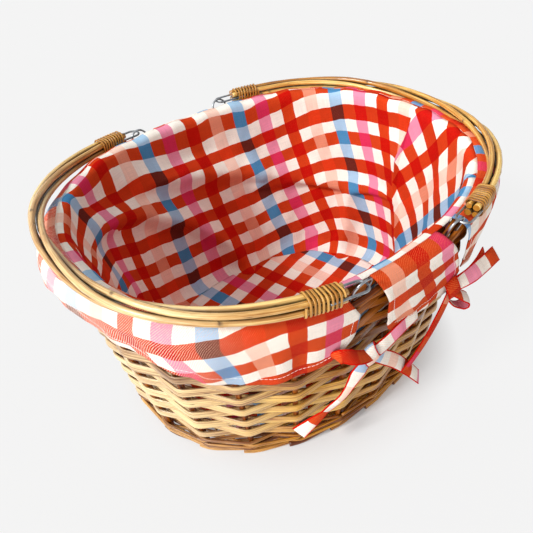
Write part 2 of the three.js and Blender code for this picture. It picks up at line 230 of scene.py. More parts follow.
class Strands:
    """Gathers tubes and strips into one mesh, with UVs in metres, and a tone for each strand."""

    def __init__(self):
        self.points, self.quads, self.uvs, self.caps, self.tones, self.marks = [], [], [], [], [], []
        self.total = 0

    def add(self, rings, tone=0.5, mark=None):
        count, sides = rings.shape[:2]
        u = run_lengths(rings.mean(axis=1)) * MM + tone * 7.0
        v = run_lengths(np.vstack([rings[0], rings[0][:1]])) * MM
        i, j = np.meshgrid(np.arange(count - 1), np.arange(sides), indexing="ij")
        low, high, j2 = i * sides, (i + 1) * sides, (j + 1) % sides
        quad = np.stack([low + j, low + j2, high + j2, high + j], -1)
        corner_u = np.stack([u[i], u[i], u[i + 1], u[i + 1]], -1)
        corner_v = np.stack([v[j], v[j + 1], v[j + 1], v[j]], -1)
        self.quads.append(quad.reshape(-1, 4) + self.total)
        self.uvs.append(np.stack([corner_u, corner_v], -1).reshape(-1, 2))
        self.caps.append(np.arange(sides)[::-1] + self.total)
        self.caps.append(np.arange(sides) + self.total + (count - 1) * sides)
        self.points.append(rings.reshape(-1, 3))
        self.tones.append(np.full(count * sides, tone))
        mark = np.zeros((count, sides)) if mark is None else mark
        self.marks.append(mark.ravel())
        self.total += count * sides

    def build(self, name, material, body, slot, stands_for=()):
        points = np.vstack(self.points) * MM
        faces = np.vstack(self.quads).tolist() + [cap.tolist() for cap in self.caps]
        mesh = bpy.data.meshes.new(name)
        mesh.from_pydata(points.tolist(), [], faces)
        quads = sum(len(q) for q in self.quads)
        cap_corners = sum(len(cap) for cap in self.caps)
        uv = np.vstack(self.uvs + [np.zeros((cap_corners, 2))])
        mesh.uv_layers.new(name="strand").data.foreach_set("uv", uv.ravel())
        put_attribute(mesh, "tone", "POINT", np.concatenate(self.tones))
        # mark holds knot scars and painted shade.
        put_attribute(mesh, "mark", "POINT", np.concatenate(self.marks))
        cut = np.r_[np.zeros(quads), np.ones(len(self.caps))]
        put_attribute(mesh, "cut", "FACE", cut)
        face_out(mesh)
        mesh.polygons.foreach_set("use_smooth", cut < 0.5)
        return place(name, mesh, material, body, stands_for)


def one_strand(node, ending, rings, material, body, slot, tone=0.5, mark=None):
    """A piece that is a single tube or strip and replaces one CAD node."""
    strand = Strands()
    strand.add(rings, tone, mark)
    strand.build(f"{node}_{ending}", material, body, slot, [node])


def new_object(name, data):
    """An object in the scene for a mesh, light or camera."""
    thing = bpy.data.objects.new(name, data)
    bpy.context.scene.collection.objects.link(thing)
    return thing


def put_attribute(mesh, name, domain, values):
    mesh.attributes.new(name, "FLOAT", domain).data.foreach_set("value", np.asarray(values, np.float32))


def face_out(mesh):
    work = bmesh.new()
    work.from_mesh(mesh)
    bmesh.ops.recalc_face_normals(work, faces=work.faces)
    work.to_mesh(mesh)
    work.free()


def place(name, mesh, material, body, stands_for):
    mesh.materials.append(material)
    piece = new_object(name, mesh)
    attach(piece, body)
    if stands_for:
        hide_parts(*stands_for)
    return piece


def cloth(name, patches, material, stands_for, closed=False, thickness=0.9):
    """One piece of cloth from grids of (points, uv), across then down. UVs are metres along its threads."""
    vertices, quads, corners = [], [], []
    for points, uv in patches:
        across, down = points.shape[:2]
        columns = across if closed else across - 1
        i, j = np.meshgrid(np.arange(columns), np.arange(down - 1), indexing="ij")
        i2 = (i + 1) % across
        quad = np.stack([i * down + j, i2 * down + j, i2 * down + j + 1, i * down + j + 1], -1)
        corner = np.stack([uv[i, j], uv[i + 1, j], uv[i + 1, j + 1], uv[i, j + 1]], 2)
        quads.append(quad.reshape(-1, 4) + sum(len(v) for v in vertices))
        vertices.append(points.reshape(-1, 3))
        corners.append(corner.reshape(-1, 2))
    mesh = bpy.data.meshes.new(name)
    mesh.from_pydata((np.vstack(vertices) * MM).tolist(), [], np.vstack(quads).tolist())
    mesh.uv_layers.new(name="cloth").data.foreach_set("uv", np.vstack(corners).ravel())
    mesh.polygons.foreach_set("use_smooth", np.ones(len(mesh.polygons), bool))
    piece = place(name, mesh, material, "basket", stands_for)
    solid = piece.modifiers.new("cloth thickness", "SOLIDIFY")
    solid.thickness = thickness * MM
    solid.offset = 0
    return piece


# ---------------------------------------------------------------- materials


def colour(r, g, b):
    """A colour given as it looks on screen, 0 to 255, as Blender's linear numbers."""
    def linear(c):
        c /= 255
        return c / 12.92 if c <= 0.04045 else ((c + 0.055) / 1.055) ** 2.4
    return (linear(r), linear(g), linear(b), 1.0)


class Nodes:
    """Short calls for building a node tree."""

    def __init__(self, tree):
        self.tree = tree

    def put(self, socket, value):
        if isinstance(value, bpy.types.NodeSocket):
            self.tree.links.new(value, socket)
        else:
            socket.default_value = value

    def node(self, kind, inputs=None, **settings):
        node = self.tree.nodes.new("ShaderNode" + kind)
        for key, value in settings.items():
            setattr(node, key, value)
        for key, value in (inputs or {}).items():
            self.put(node.inputs[key], value)
        return node

    def math(self, operation, a, b=0.0, c=0.0):
        return self.node("Math", {0: a, 1: b, 2: c}, operation=operation).outputs[0]

    def plus(self, a, b):
        return self.math("ADD", a, b)

    def times(self, a, b):
        return self.math("MULTIPLY", a, b)

    def mix(self, factor, a, b, blend="MIX"):
        node = self.node("Mix", data_type="RGBA", blend_type=blend)
        self.put(node.inputs[0], factor)
        self.put(node.inputs[6], a)
        self.put(node.inputs[7], b)
        return node.outputs[2]

    def spread(self, value, low, high, to_low=0.0, to_high=1.0):
        node = self.node("MapRange", {"Value": value, "From Min": low, "From Max": high,
                                      "To Min": to_low, "To Max": to_high})
        return node.outputs[0]


class Look(Nodes):
    """One material, and calls for the things that several materials are made from."""

    def __init__(self, name, roughness=0.5, metallic=0.0):
        self.material = bpy.data.materials.new(name)
        self.material.use_nodes = True
        super().__init__(self.material.node_tree)
        self.give("Roughness", roughness)
        self.give("Metallic", metallic)

    def give(self, name, value):
        self.put(self.tree.nodes["Principled BSDF"].inputs[name], value)

    def attribute(self, name):
        return self.node("Attribute", attribute_name=name).outputs["Fac"]

    def coordinates(self, kind):
        return self.node("SeparateXYZ", {0: self.node("TexCoord").outputs[kind]}).outputs

    def noise(self, x, y, scale_x, scale_y, detail=2.0, rough=0.5, z=0.0):
        place_at = self.node("CombineXYZ", {0: self.times(x, scale_x), 1: self.times(y, scale_y), 2: z})
        node = self.node("TexNoise", {"Vector": place_at.outputs[0], "Scale": 1.0,
                                      "Detail": detail, "Roughness": rough})
        return node.outputs[0]

    def ramp(self, value, stops, interpolation="LINEAR"):
        node = self.node("ValToRGB", {0: value})
        ramp = node.color_ramp
        ramp.interpolation = interpolation
        while len(ramp.elements) < len(stops):
            ramp.elements.new(1.0)
        for element, (at, value_colour) in zip(ramp.elements, stops):
            element.position = at
            element.color = value_colour
        return node.outputs[0]

    def bump(self, height, strength, distance):
        node = self.node("Bump", {"Height": height, "Strength": strength, "Distance": distance})
        self.give("Normal", node.outputs[0])

    def shaded(self, base, shade):
        grey = self.node("CombineColor", {0: shade, 1: shade, 2: shade}).outputs[0]
        return self.mix(1.0, base, grey, "MULTIPLY")


# Painted light: the pale cream that the left end's willow is painted towards, where the light falls
# strongest.
LIT_LEFT_TINT = colour(255, 236, 190)


def willow(name, light, middle, dark, scar_and_shade_colour, roughness, gloss=0.5, coat=0.0, lit_left_end=0.0):
    """Willow rods and splits: a tone for each strand, grain along it, darker knots and scars, painted shade
    where the mark attribute asks, and painted light at the basket's left end.
    """
    light, middle, dark, scar_and_shade_colour = (colour(*c) for c in (light, middle, dark, scar_and_shade_colour))
    look = Look(name)
    u, v, _ = look.coordinates("UV")
    tone = look.attribute("tone")
    slow = look.noise(u, v, 22, 60, 3)
    grain = look.noise(u, v, 55, 2600, 4, 0.6)
    streak = look.noise(u, v, 14, 700, 3, 0.6, 7.0)
    mixed = look.plus(look.times(tone, 0.5), look.times(slow, 0.6))
    mixed = look.plus(mixed, look.spread(grain, 0.3, 0.7, -0.14, 0.14))
    mixed = look.plus(mixed, look.spread(streak, 0.3, 0.7, -0.27, 0.27))
    base = look.ramp(mixed, [(0.12, dark), (0.5, middle), (0.86, light)])
    # Painted light: the left end of the basket is painted paler than the rest, where the light falls
    # strongest.
    place_x = look.coordinates("Object")[0]
    painted_left_light = look.times(look.spread(place_x, -0.17, -0.085, lit_left_end, 0.0),
                     look.spread(mixed, 0.25, 0.75, 0.1, 1.3))
    base = look.mix(painted_left_light, base, LIT_LEFT_TINT)
    scars = look.spread(look.noise(u, v, 95, 420, 2, 0.5, 3.0), 0.66, 0.76)
    base = look.mix(look.times(scars, 0.65), base, scar_and_shade_colour)
    # The mark attribute holds knot scars, and painted shade on strip edges and between handle rods.
    base = look.mix(look.attribute("mark"), base, scar_and_shade_colour)
    cut_grain = look.mix(0.4, middle, dark)
    look.give("Base Color", look.mix(look.attribute("cut"), base, cut_grain))
    look.give("Roughness", look.spread(slow, 0.3, 0.7, roughness - 0.08, roughness + 0.12))
    look.give("Specular IOR Level", gloss)
    look.give("Coat Weight", coat)
    look.give("Coat Roughness", 0.25)
    look.bump(look.plus(grain, look.times(slow, 0.6)), 0.5, 0.0004)
    return look.material


# Each stripe of the warp, as it looks where a white band and the two coloured bands cross it.
BLUE = [(164, 200, 228), (66, 138, 186), (96, 32, 28)]
PINK = [(236, 144, 172), (214, 44, 88), (196, 8, 10)]
RED = [(206, 58, 20), (194, 4, 2), (186, 2, 2)]
PEACH = [(250, 212, 194), (226, 140, 112), (214, 54, 20)]
PLAIN = [(250, 243, 232), (204, 62, 24), (200, 54, 20)]
WARP = [BLUE, PLAIN, PEACH, PLAIN, RED, PLAIN, PINK, PLAIN]
STRIPE = 0.0155
TWILL = colour(250, 150, 84)
# Painted highlight: the pale cream that the twill floats at the left end are painted towards.
GLARE_TINT = colour(255, 230, 214)


def cotton(name, twill, twill_pitch, left_glare=0.0):
    """Checked cotton, for UVs in metres along its threads. Its left end may get a painted highlight."""
    look = Look(name, roughness=0.88)
    u, v, _ = look.coordinates("UV")
    place_x = look.coordinates("Object")[0]
    wobble_u = look.spread(look.noise(u, v, 90, 90, 1), 0.3, 0.7, -0.0003, 0.0003)
    wobble_v = look.spread(look.noise(v, u, 90, 90, 1, 0.5, 5.0), 0.3, 0.7, -0.0003, 0.0003)
    u = look.plus(u, wobble_u)
    v = look.plus(v, wobble_v)
    column = look.math("FRACT", look.math("DIVIDE", u, STRIPE * len(WARP)))
    places = [i / len(WARP) for i in range(len(WARP))]
    bands = [look.ramp(column, [(at, colour(*c)) for at, c in zip(places, band)], "CONSTANT")
             for band in zip(*WARP)]
    row = look.math("FRACT", look.math("DIVIDE", v, STRIPE * 4))
    coloured = look.math("GREATER_THAN", look.math("FRACT", look.times(row, 2.0)), 0.5)
    second = look.math("GREATER_THAN", row, 0.5)
    base = look.mix(coloured, bands[0], look.mix(second, bands[1], bands[2]))
    # Twill: floats of paler warp on slanting lines, and threads of uneven thickness.
    slant = look.math("FRACT", look.math("DIVIDE", look.plus(u, v), twill_pitch))
    float_line = look.math("GREATER_THAN", slant, 0.58)
    uneven = look.spread(look.noise(u, v, 1500, 500, 1), 0.35, 0.6, 0.3, 1.0)
    float_line = look.times(float_line, uneven)
    # Painted highlight: towards the left end the twill floats are painted pale cream, where light glances off
    # the face.
    painted_left_light = look.times(look.spread(place_x, -0.2, -0.12, 1.0, 0.0), left_glare)
    floats = look.mix(painted_left_light, look.mix(0.5, base, TWILL), GLARE_TINT)
    base = look.mix(look.times(float_line, look.plus(twill, painted_left_light)), base, floats)
    threads = look.plus(look.noise(u, v, 2200, 60, 2), look.noise(u, v, 60, 2200, 2, 0.5, 2.0))
    look.give("Base Color", look.shaded(base, look.spread(threads, 0.7, 1.3, 0.86, 1.08)))
    look.give("Specular IOR Level", 0.06)
    look.bump(look.plus(threads, look.times(float_line, 0.8)), 0.5, 0.0003)
    return look.material


def plain_cotton(name, base):
    look = Look(name, roughness=0.85)
    look.give("Specular IOR Level", 0.06)
    u, v, _ = look.coordinates("UV")
    threads = look.noise(u, v, 1400, 1400, 2)
    look.give("Base Color", look.shaded(base, look.spread(threads, 0.3, 0.7, 0.8, 1.1)))
    look.bump(threads, 0.4, 0.0003)
    return look.material


def galvanised(name):
    look = Look(name, roughness=0.3, metallic=1.0)
    u, v, _ = look.coordinates("UV")
    cloud = look.noise(u, v, 160, 300, 3)
    greys = [(0.3, colour(112, 116, 120)), (0.7, colour(196, 200, 204))]
    look.give("Base Color", look.ramp(cloud, greys))
    look.give("Roughness", look.spread(cloud, 0.3, 0.7, 0.2, 0.42))
    look.bump(look.noise(u, v, 400, 1200, 2), 0.25, 0.0002)
    return look.material


# The last number for some willows is painted light: how much paler their left end is painted.
SPLIT_WILLOW = willow("split willow", (232, 182, 78), (156, 90, 14), (74, 28, 2),
                      (56, 20, 3), roughness=0.3, gloss=0.5, coat=0.3, lit_left_end=0.5)
BROWN_WILLOW = willow("brown willow", (182, 104, 24), (118, 52, 6), (56, 18, 2),
                      (30, 8, 2), roughness=0.34, gloss=0.2)
FOOT_WILLOW = willow("foot willow", (206, 142, 46), (116, 54, 6), (46, 14, 2),
                     (30, 8, 2), roughness=0.32, gloss=0.4, lit_left_end=0.15)
HANDLE_WILLOW = willow("handle willow", (248, 210, 122), (194, 132, 40), (116, 58, 8),
                       (34, 12, 2), roughness=0.24, coat=0.7, lit_left_end=0.35)
CANE = willow("binding cane", (230, 178, 92), (180, 116, 36), (112, 56, 10),
              (40, 14, 3), roughness=0.3)
STEEL = galvanised("galvanised wire")
# The face's last number is a painted highlight on its twill at the left end.
COTTON_OUT = cotton("checked cotton face", twill=0.65, twill_pitch=0.002, left_glare=0.9)
COTTON_IN = cotton("checked cotton inside", twill=0.14, twill_pitch=0.0017)
THREAD = plain_cotton("white sewing thread", colour(250, 244, 236))
PIPING = plain_cotton("red piping", colour(206, 22, 6))


# ---------------------------------------------------------------- base, foot and wall


def stake(number):
    heights = np.linspace(STAKE_BOTTOM_Z, STAKE_TOP_Z, 24)
    low, normal = wall(stake_share(number), 0, STAKE_BOTTOM_Z)
    high, _ = wall(stake_share(number), 0, STAKE_TOP_Z)
    path = lerp(low, high, np.linspace(0, 1, len(heights))[:, None])
    rings = rings_along(path, normal, round_section(STAKE_RADIUS, 10), 1 + wander(heights, 12, 0.05))
    one_strand(f"stake_{number + 1:02d}", "rod", rings, BROWN_WILLOW, "basket", "brown_willow",
               random.uniform(0.2, 0.8))


def painted_edge_shade(count, sides, depth):
    """Darker edges along a flat strip: painted shade for the gaps where neighbouring strips and turns meet.
    """
    return np.tile(depth * np.abs(np.sin(round_angles(sides))) ** 7, (count, 1))


def triangle_wave(w):
    """In and out of the stakes: nearly straight between them, rounded as it bends round each."""
    sharp = 0.975
    return np.arcsin(sharp * np.cos(math.pi * w)) / math.asin(sharp)


def spiral(rows, step, shortest, longest, detail):
    """Cuts a spiral round the wall into strands, each a run of places that are counted in stakes."""
    last = rows * STAKES
    start = 0.0
    while start < last:
        end = min(start + step * round(random.uniform(shortest, longest)), last)
        yield np.linspace(start + 0.03, end - 0.03, max(8, int((end - start) * detail)))
        start = end


# The strips from top_z up take the darker brown willow: painted shade under the rim, which shows in the
# notches.
WEAVE = {"bottom_z": 26.4, "pitch": 8.9, "rows": 16.45, "width": 7.6, "thickness": 2.3, "top_z": 132}


def side_weave():
    """Split willow in one long spiral: the odd number of stakes makes each row pass opposite the last."""
    strands, shaded_top_strands = Strands(), Strands()
    # Strips are an even number of stakes long, so their ends are behind a stake and don't show.
    for w in spiral(WEAVE["rows"], 2, 13, 25, 12):
        z = WEAVE["bottom_z"] + WEAVE["pitch"] * w / STAKES + wander(w, 0.7, 0.6)
        offset = (STAKE_RADIUS + WEAVE["thickness"] / 2 + 0.5) * -triangle_wave(w)
        path, normal = chord_wall(w, offset, z)
        near_stake = np.cos(math.pi * w) ** 2
        width = WEAVE["width"] * (1 + 0.1 * near_stake) * random.uniform(0.92, 1.05)
        width = width + wander(w, 0.8, 0.6)
        section = flat_section(WEAVE["thickness"], 1.0) * np.stack([np.ones(len(w)), width], -1)[:, None]
        tilt = -0.14 + wander(w, 0.8, 0.14) - 0.1 * triangle_wave(w)
        rings = rings_along(path, normal, section, tilt=tilt)
        # The strips near the top take the darker brown willow as painted shade under the rim.
        group = shaded_top_strands if z[0] > WEAVE["top_z"] else strands
        # Each strip's edges get painted shade, for the gaps between rows.
        group.add(rings, random.uniform(0.25, 0.95), painted_edge_shade(len(w), 12, 0.65))
    strands.build("side_weave_strips", SPLIT_WILLOW, "basket", "straw_willow", ["side_weave"])
    shaded_top_strands.build("side_weave_shaded_top_strips", BROWN_WILLOW, "basket", "brown_willow", ["side_weave"])


WALE = {"bottom_z": 8.6, "pitch": 2.75, "rows": 4.9, "radius": 1.6}


def bottom_wale():
    """Thin round rods, each in front of two stakes and behind the third."""
    strands = Strands()
    for w in spiral(WALE["rows"], 1, 16, 24, 9):
        z = WALE["bottom_z"] + WALE["pitch"] * w / STAKES + wander(w, 0.7, 0.45)
        wave = np.clip(1 / 3 + 4 / 3 * np.cos(2 * math.pi * (w - 0.5) / 3), -1, 1.12)
        path, normal = chord_wall(w, (STAKE_RADIUS + WALE["radius"]) * wave, z)
        scale = 1 + wander(w, 3.0, 0.1)
        rings = rings_along(path, normal, round_section(WALE["radius"], 10), scale)
        strands.add(rings, random.uniform(0.25, 1.0))
    strands.build("bottom_wale_rods", FOOT_WILLOW, "basket", "brown_willow", ["bottom_wale"])


def foot_border():
    """Each stake's lower end lies along the floor, past the next stake, with its cut end showing."""
    strands = Strands()
    for number in range(STAKES):
        reach = np.linspace(-0.2, 1.25, 30)
        w = number + reach
        z = np.interp(reach, [-0.2, 0.6, 0.95, 1.25], [2.9, 2.8, 3.6, 5.4]) + wander(w, 0.5, 0.15)
        out = np.interp(reach, [-0.2, 0.2, 0.75, 1.25], [2.6, 2.3, 0.6, -2.6])
        path, normal = chord_wall(w, out, z, rounding=0.16)
        radius = 2.6 * np.interp(reach, [-0.2, 1.25], [1.05, 0.82]) + wander(w, 0.4, 0.08)
        rings = rings_along(path, normal, round_section(1.0), radius)
        strands.add(rings, random.uniform(0.2, 0.95))
    strands.build("foot_border_rods", FOOT_WILLOW, "basket", "brown_willow", ["foot_border"])


RIM_ROD_PATH = {
    "reach": [0.0, 0.12, 0.45, 1.0, 1.6, 2.2, 2.8, 3.25],
    "out": [0.0, 1.5, 5.2, 5.8, 5.0, 1.4, -3.6, -5.4],
    "z": [166.0, 173.5, 177.3, 178.6, 182.6, 184.9, 183.4, 179.3],
}


def rounded(values):
    """Takes the corners off a line of values, by a running mean of seven."""
    return np.convolve(np.pad(values, 3, "edge"), np.ones(7) / 7, "valid")


def rim_border():
    """Stakes' top ends bent over and rolled into a border of three parallel rods."""
    strands = Strands()
    for number in range(STAKES):
        reach = np.linspace(0, RIM_ROD_PATH["reach"][-1], 64)
        out, z = (rounded(np.interp(reach, RIM_ROD_PATH["reach"], RIM_ROD_PATH[k])) for k in ("out", "z"))
        w = number + reach
        path, normal = wall(stake_share(w), out, z)
        radius = 2.35 * np.interp(reach, [0, 3.3], [1.05, 0.85]) + wander(w, 0.6, 0.1)
        scars, bumps = knots(reach * 44, 12, 2)
        section = round_section(1.0) * (radius[:, None] + bumps * 0.3)[..., None]
        rings = rings_along(path, normal + np.array([0, 0, 0.4]), section)
        strands.add(rings, random.uniform(0.0, 1.0), scars)
    strands.build("rim_border_rods", BROWN_WILLOW, "basket", "brown_willow", ["rim_border"])


def knots(distance, sides, count):
    """Dark bud scars on one side of a rod and the swelling round each, for lengths in millimetres."""
    marks = np.zeros((len(distance), sides))
    bumps = np.zeros_like(marks)
    for _ in range(count):
        away = distance - random.uniform(distance[0], distance[-1])
        facing = np.clip(np.cos(round_angles(sides) - random.uniform(0, 2 * math.pi)), 0, 1)
        marks += np.exp(-((away / 1.5) ** 2))[:, None] * facing**6
        bumps += np.exp(-((away / 3.2) ** 2))[:, None] * (0.35 + facing**2)
    return np.clip(marks, 0, 0.85), bumps


BASE = {"outward": -9.3, "middle_z": 6.5, "rod": 1.25, "stick": 1.35, "pitch": 3.1, "inner_half_width": 6.0}


def base_mat():
    """The base: sticks laid outwards from the middle, and fine rods woven round them in an oval spiral."""
    half_length, half_width = (FOOT[k] + BASE["outward"] for k in ("half_length", "half_width"))
    depth = half_width - BASE["inner_half_width"]

    def laid(share, inset, z):
        """Points a share of the way round, inset millimetres from the base's edge."""
        angle = wall_angle(share, np.full(len(share), FOOT["z"]))
        flat = oval_point(half_length - inset, half_width - inset, FOOT["power"], angle)
        return np.concatenate([flat, np.broadcast_to(z, len(share))[:, None]], -1)

    strands = Strands()
    for number in range(STAKES):
        path = laid(np.full(12, stake_share(number)), np.linspace(2, depth, 12), BASE["middle_z"])
        strands.add(rings_along(path, [0, 0, 1], round_section(BASE["stick"], 8)), random.uniform(0.2, 0.8))
    turns = depth / BASE["pitch"]
    w = np.linspace(0, turns * STAKES, int(turns * STAKES * 6))
    z = BASE["middle_z"] + (BASE["stick"] * 0.9) * np.cos(math.pi * w)
    path = laid(stake_share(w), w / STAKES * BASE["pitch"] + BASE["rod"], z)
    for part in np.array_split(path, 40):
        rings = rings_along(part, [0, 0, 1], round_section(BASE["rod"], 6))
        strands.add(rings, random.uniform(0.2, 0.95))
    strands.build("base_mat_weave", SPLIT_WILLOW, "basket", "straw_willow", ["base_mat"])


# ---------------------------------------------------------------- handles and wires


class HandleLine:
    """The handle's middle line from its front end to its back end."""

    def __init__(self, end):
        self.end = ENDS[end]
        self.tilt = HANDLE_TILT[end]
        reach = HINGE["x"] + EYE["set_back"]
        self.span = math.acos((reach / HANDLE["half_length"]) ** (HANDLE["power"] / 2))
        fine = self.point(np.linspace(0, 1, 400))
        self.length = np.linalg.norm(np.diff(fine, axis=0), axis=1).sum()

    def point(self, t):
        flat = oval_point(HANDLE["half_length"], HANDLE["half_width"], HANDLE["power"],
                          self.span * (2 * np.asarray(t, float) - 1))
        out = flat[..., 0] - HINGE["x"]
        x = self.end * (HINGE["x"] + out * math.cos(self.tilt))
        return np.stack([x, flat[..., 1], HINGE["z"] + out * math.sin(self.tilt)], -1)

    def frame(self, t):
        nudge = 1e-3
        t = np.asarray(t, float)
        along = unit(self.point(np.minimum(1, t + nudge)) - self.point(np.maximum(0, t - nudge)))
        up = np.broadcast_to([-self.end * math.sin(self.tilt), 0, math.cos(self.tilt)], along.shape)
        return along, up, unit(np.cross(up, along))


RODS = {"count": 4, "offset": 4.1, "radius": 2.52, "twist": 1.5 * math.pi}
# How far out from the handle's middle the painted shade between the rods reaches, and over how much it fades.
GROOVE_SHADE = {"out_to": 5.1, "fades_over": 1.5}


def handle_rods(end, line):
    t = np.linspace(0, 1, 300)
    distance = t * line.length
    _, up, across = line.frame(t)
    smooth = np.clip((t - 0.12) / 0.76, 0, 1)
    twist = RODS["twist"] * smooth**2 * (3 - 2 * smooth)
    for number in range(RODS["count"]):
        angle = 2 * math.pi * (number + 0.5) / RODS["count"] + twist
        free = np.clip(np.minimum(t, 1 - t) / 0.1, 0, 1)
        offset = RODS["offset"] + free * wander(distance, 50, 0.5)
        sway = free * wander(distance, 40, 0.12)
        path = line.point(t) + across * (offset * np.cos(angle + sway))[:, None]
        path = path + up * (offset * np.sin(angle + sway))[:, None]
        taper = np.linspace(1.04, 0.9, len(t)) if number % 2 else np.linspace(0.9, 1.04, len(t))
        scars, bumps = knots(distance, 14, 9)
        radius = (RODS["radius"] * taper + wander(distance, 9, 0.06))[:, None] + bumps * 0.28
        rings = rings_along(path, up, round_section(1.0, 14) * radius[..., None])
        # Painted shade: the sides that face the other rods are darkened, where the rods shade one another.
        from_middle = np.linalg.norm(rings - line.point(t)[:, None], axis=2)
        groove_shade = 0.85 * np.clip((GROOVE_SHADE["out_to"] - from_middle) / GROOVE_SHADE["fades_over"], 0, 1)
        one_strand(f"{end}_handle_rod_{number + 1}", "willow", rings, HANDLE_WILLOW, f"{end}_handle",
                   "handle_willow", random.uniform(0.2, 0.9), np.maximum(scars, groove_shade))


def bundle_outline(clearance, count):
    """The line round the four rods, like a tight string, as even points (across, up)."""
    angles = np.linspace(0, 2 * math.pi, 2000, endpoint=False)
    facing = np.stack([np.cos(angles), np.sin(angles)], -1)
    centres = round_section(RODS["offset"], RODS["count"])
    nearest = np.argmax(facing @ centres.T, axis=1)
    outline = centres[nearest] + facing * (RODS["radius"] + clearance)
    outline = np.vstack([outline, outline[:1]])
    lengths = run_lengths(outline)
    return at_places(np.linspace(0, lengths[-1], count + 1), lengths, outline)


# How many turns each binding has, and how wide its cane is.
TURNS = {"left_front": (9, 2.0), "right_front": (9, 2.3), "right_back": (8, 2.0), "left_back": (9, 1.9)}


def binding(end, side, line):
    """Cane wound round the handle's end."""
    turns, width = TURNS[f"{end}_{side}"]
    count = 160
    outline = bundle_outline(1.15, count)
    total = turns * 48
    turn = np.linspace(0, turns, total)
    place_at = (turn % 1.0) * count
    low = place_at.astype(int) % count
    flat = lerp(outline[low], outline[low + 1], (place_at - low)[:, None])
    first, room = BINDING["start"] + width / 2, BINDING["length"] - width
    travel = first + (turn / turns + wander(turn, 0.9, 0.012)) * room
    t = np.clip(travel, first, first + room) / line.length
    t = t if SIDES[side] < 0 else 1 - t
    _, up, across = line.frame(t)
    outward = across * flat[:, :1] + up * flat[:, 1:]
    path = line.point(t) + outward
    rings = rings_along(path, unit(outward), flat_section(1.35, width, out_power=1.0, up_power=0.9))
    # The cane's edges get painted shade, for the gaps between its turns.
    one_strand(f"{end}_{side}_binding", "cane", rings, CANE, f"{end}_handle", "cane",
               random.uniform(0.45, 0.75), painted_edge_shade(total, 12, 0.9))


def u_bend(centre, side, up, radius, leg):
    """A wire bent into a U: two straight legs and a half circle."""
    bend = math.pi * radius
    run = np.linspace(0, 2 * leg + bend, 64)
    angle = np.clip((run - leg) / radius, 0, math.pi)
    across = -radius * np.cos(angle)
    rise = np.where(run > leg + bend, leg + bend - run, radius * np.sin(angle))
    rise = np.where(run < leg, run - leg, rise)
    return centre + across[:, None] * side + rise[:, None] * up


WIRE_RADIUS = 0.95


def hinge_wires(end, side, line):
    """The wire eye in the handle's end, and the loop on the rim that is linked with it."""
    sign, side_sign = ENDS[end], SIDES[side]
    t = 0.0 if side_sign < 0 else 1.0
    along, up, across = line.frame(t)
    outward = along * side_sign
    straight = EYE["set_back"] + EYE["reach"] - EYE["half_width"]
    centre = line.point(t) + outward * straight
    eye = u_bend(centre, across, outward, EYE["half_width"], straight + EYE["buried"])
    rings = rings_along(eye, up, round_section(WIRE_RADIUS))
    one_strand(f"{end}_{side}_handle_eye", "wire", rings, STEEL, f"{end}_handle", "steel_wire")

    rise = np.array([0, side_sign * math.sin(LOOP["lean"]), math.cos(LOOP["lean"])])
    length_way = np.array([1.0, 0, 0])
    centre = np.array([sign * HINGE["x"], side_sign * HINGE["y"], HINGE["z"]])
    centre += length_way * sign * LOOP["radius"] * math.cos(LOOP["shoulder"])
    centre -= rise * LOOP["radius"] * math.sin(LOOP["shoulder"])
    centre += [sign * LOOP_SLACK[end][0], 0, LOOP_SLACK[end][1]]
    loop = u_bend(centre, length_way, rise, LOOP["radius"], LOOP["leg"])
    rings = rings_along(loop, np.cross(length_way, rise), round_section(WIRE_RADIUS))
    one_strand(f"{end}_{side}_rim_loop", "wire", rings, STEEL, "basket", "steel_wire")


for stake_number in range(STAKES):
    stake(stake_number)
side_weave()
bottom_wale()
foot_border()
rim_border()
base_mat()
for end_name in ENDS:
    handle_line = HandleLine(end_name)
    handle_rods(end_name, handle_line)
    for side_name in SIDES:
        binding(end_name, side_name, handle_line)
        hinge_wires(end_name, side_name, handle_line)


# ---------------------------------------------------------------- liner bag

BAG = {"outward": -10.2, "floor_z": 10.1, "lip_out": -1.2, "over_z": RIM_TOP_Z + 1.1}
RIM_ROUND = 1003.0  # the rim's length round the inside of the liner
WALL_ROUND = 950.0  # the wall's length round the inside of the liner, half way up
GATHER = 1.15  # cloth along the rim is this much longer than the rim

# Soft folds of the bag's wall: a line of (share, z) points, how far it stands in, and its half width.
FOLDS = [
    ([(0.41, 172), (0.335, 138), (0.275, 96), (0.235, 50), (0.22, 14)], 15.0, 13),
    ([(0.36, 190), (0.30, 160), (0.20, 128), (0.12, 104), (0.06, 92)], 12.5, 14),
    ([(0.44, 190), (0.42, 100), (0.40, 14)], 6.0, 40),
    ([(0.225, 185), (0.185, 130), (0.16, 70), (0.145, 16)], 4.5, 17),
    ([(0.47, 180), (0.43, 120), (0.38, 60), (0.35, 14)], 5.0, 18),
    ([(0.12, 186), (0.10, 120), (0.09, 40), (0.085, 12)], 3.5, 18),
    ([(0.56, 186), (0.54, 110), (0.55, 20)], 6.0, 18),
    ([(0.64, 186), (0.66, 110), (0.65, 20)], 5.0, 20),
    ([(0.74, 186), (0.72, 110), (0.74, 20)], 5.0, 20),
    ([(0.84, 186), (0.85, 110), (0.83, 20)], 5.0, 20),
    ([(0.93, 186), (0.92, 110), (0.94, 20)], 5.0, 20),
]
# The end panel starts behind a leaning pleat, (z, share).
CREASE = [(12, 0.974), (48, 0.978), (78, 0.985), (111, 0.9985), (140, 1.001), (165, 0.998), (200, 0.990)]
# Cloth stands puffed above the rim, most at the back, (share, mm).
PUFF = [(0, 8), (0.1, 9), (0.19, 9), (0.25, 10), (0.31, 12), (0.36, 13), (0.42, 11), (0.5, 9), (0.58, 8),
        (0.66, 4), (0.70, 1), (0.76, 0.5), (0.81, 1), (0.85, 4), (0.92, 7), (1, 8)]
